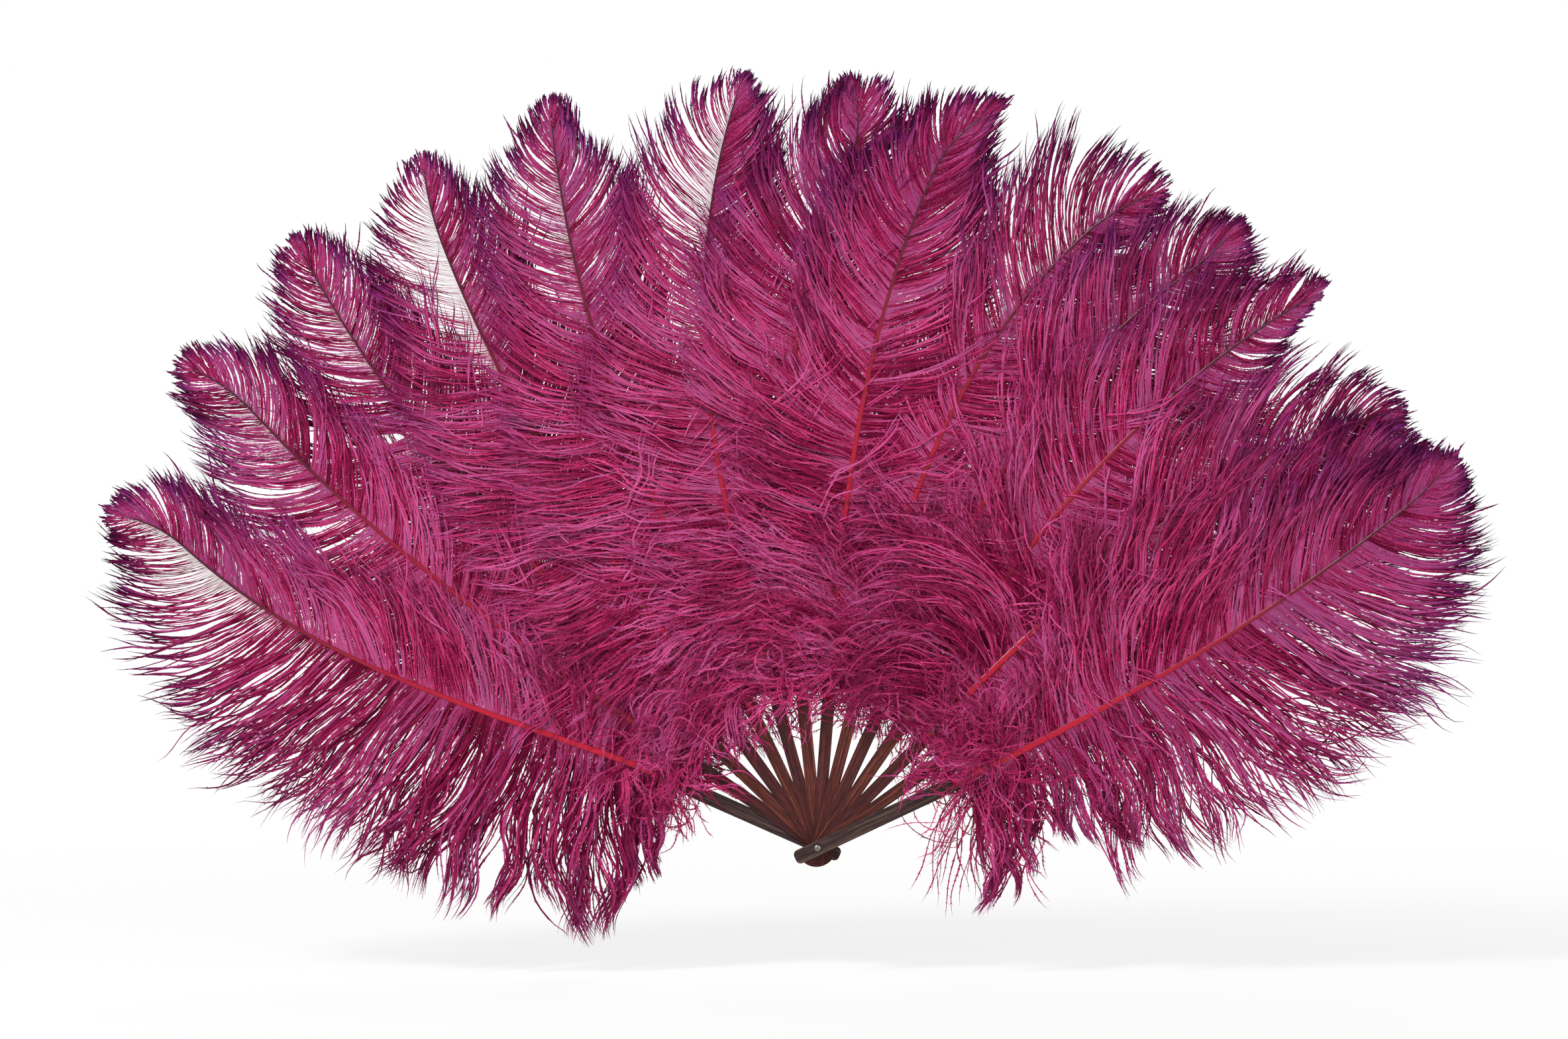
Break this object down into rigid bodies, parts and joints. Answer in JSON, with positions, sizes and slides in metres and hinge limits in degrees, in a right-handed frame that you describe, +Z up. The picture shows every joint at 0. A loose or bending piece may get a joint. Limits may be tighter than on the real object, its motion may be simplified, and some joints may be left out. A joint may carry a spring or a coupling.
{
  "type": "folding feather fan",
  "caption": "Open hand fan of dyed ostrich plumes on thin wooden sticks that turn on a shared rivet and fold flat behind the front guard.",
  "frame": {"origin": "on the rivet's axis, half way through the stack of blades", "axes": "+X to the viewer's right along the open fan, -Y towards the viewer along the rivet, +Z up"},
  "size_m": [0.9112, 0.05, 0.5657],
  "materials": {
    "dark_wood": "dark stained, satin",
    "red_wood": "reddish brown stained, satin",
    "quill": "dyed horn, glossy",
    "barbs": "dyed feather, soft sheen",
    "thread": "wound cotton thread",
    "rivet_metal": "polished"
  },
  "bodies": {
    "front_guard": {"front_guard": "dark_wood", "quill_front": "quill", "plume_front": "barbs", "binding_front": "thread", "rivet": "rivet_metal", "rivet_burr": "rivet_metal"},
    "stick_01": {"stick_01": "red_wood", "quill_01": "quill", "plume_01": "barbs", "binding_01": "thread"},
    "stick_02": {"stick_02": "dark_wood", "quill_02": "quill", "plume_02": "barbs", "binding_02": "thread"},
    "stick_03": {"stick_03": "red_wood", "quill_03": "quill", "plume_03": "barbs", "binding_03": "thread"},
    "stick_04": {"stick_04": "dark_wood", "quill_04": "quill", "plume_04": "barbs", "binding_04": "thread"},
    "stick_05": {"stick_05": "red_wood", "quill_05": "quill", "plume_05": "barbs", "binding_05": "thread"},
    "stick_06": {"stick_06": "dark_wood", "quill_06": "quill", "plume_06": "barbs", "binding_06": "thread"},
    "stick_07": {"stick_07": "red_wood", "quill_07": "quill", "plume_07": "barbs", "binding_07": "thread"},
    "stick_08": {"stick_08": "dark_wood", "quill_08": "quill", "plume_08": "barbs", "binding_08": "thread"},
    "stick_09": {"stick_09": "red_wood", "quill_09": "quill", "plume_09": "barbs", "binding_09": "thread"},
    "stick_10": {"stick_10": "dark_wood", "quill_10": "quill", "plume_10": "barbs", "binding_10": "thread"},
    "stick_11": {"stick_11": "red_wood", "quill_11": "quill", "plume_11": "barbs", "binding_11": "thread"},
    "stick_12": {"stick_12": "dark_wood", "quill_12": "quill", "plume_12": "barbs", "binding_12": "thread"},
    "rear_guard": {"rear_guard": "dark_wood", "quill_rear": "quill", "plume_rear": "barbs", "binding_rear": "thread"}
  },
  "joints": [
    {"name": "fan_fold", "type": "hinge", "parent": "front_guard", "child": "rear_guard", "pos_m": [0, 0, 0], "axis": [0, 1, 0], "range_deg": [0, 130.7]},
    {"name": "stick_01_turn", "type": "hinge", "parent": "front_guard", "child": "stick_01", "pos_m": [0, 0, 0], "axis": [0, 1, 0], "range_deg": [0, 10.1]},
    {"name": "stick_02_turn", "type": "hinge", "parent": "front_guard", "child": "stick_02", "pos_m": [0, 0, 0], "axis": [0, 1, 0], "range_deg": [0, 20.16]},
    {"name": "stick_03_turn", "type": "hinge", "parent": "front_guard", "child": "stick_03", "pos_m": [0, 0, 0], "axis": [0, 1, 0], "range_deg": [0, 30.21]},
    {"name": "stick_04_turn", "type": "hinge", "parent": "front_guard", "child": "stick_04", "pos_m": [0, 0, 0], "axis": [0, 1, 0], "range_deg": [0, 40.27]},
    {"name": "stick_05_turn", "type": "hinge", "parent": "front_guard", "child": "stick_05", "pos_m": [0, 0, 0], "axis": [0, 1, 0], "range_deg": [0, 50.32]},
    {"name": "stick_06_turn", "type": "hinge", "parent": "front_guard", "child": "stick_06", "pos_m": [0, 0, 0], "axis": [0, 1, 0], "range_deg": [0, 60.37]},
    {"name": "stick_07_turn", "type": "hinge", "parent": "front_guard", "child": "stick_07", "pos_m": [0, 0, 0], "axis": [0, 1, 0], "range_deg": [0, 70.43]},
    {"name": "stick_08_turn", "type": "hinge", "parent": "front_guard", "child": "stick_08", "pos_m": [0, 0, 0], "axis": [0, 1, 0], "range_deg": [0, 80.48]},
    {"name": "stick_09_turn", "type": "hinge", "parent": "front_guard", "child": "stick_09", "pos_m": [0, 0, 0], "axis": [0, 1, 0], "range_deg": [0, 90.53]},
    {"name": "stick_10_turn", "type": "hinge", "parent": "front_guard", "child": "stick_10", "pos_m": [0, 0, 0], "axis": [0, 1, 0], "range_deg": [0, 100.59]},
    {"name": "stick_11_turn", "type": "hinge", "parent": "front_guard", "child": "stick_11", "pos_m": [0, 0, 0], "axis": [0, 1, 0], "range_deg": [0, 110.64]},
    {"name": "stick_12_turn", "type": "hinge", "parent": "front_guard", "child": "stick_12", "pos_m": [0, 0, 0], "axis": [0, 1, 0], "range_deg": [0, 120.7]}
  ],
  "couplings": [
    {"joint": "stick_01_turn", "follows": "fan_fold", "ratio": 0.076923},
    {"joint": "stick_02_turn", "follows": "fan_fold", "ratio": 0.15385},
    {"joint": "stick_03_turn", "follows": "fan_fold", "ratio": 0.23077},
    {"joint": "stick_04_turn", "follows": "fan_fold", "ratio": 0.30769},
    {"joint": "stick_05_turn", "follows": "fan_fold", "ratio": 0.38461},
    {"joint": "stick_06_turn", "follows": "fan_fold", "ratio": 0.46154},
    {"joint": "stick_07_turn", "follows": "fan_fold", "ratio": 0.53846},
    {"joint": "stick_08_turn", "follows": "fan_fold", "ratio": 0.61538},
    {"joint": "stick_09_turn", "follows": "fan_fold", "ratio": 0.69231},
    {"joint": "stick_10_turn", "follows": "fan_fold", "ratio": 0.76923},
    {"joint": "stick_11_turn", "follows": "fan_fold", "ratio": 0.84615},
    {"joint": "stick_12_turn", "follows": "fan_fold", "ratio": 0.92308}
  ]
}
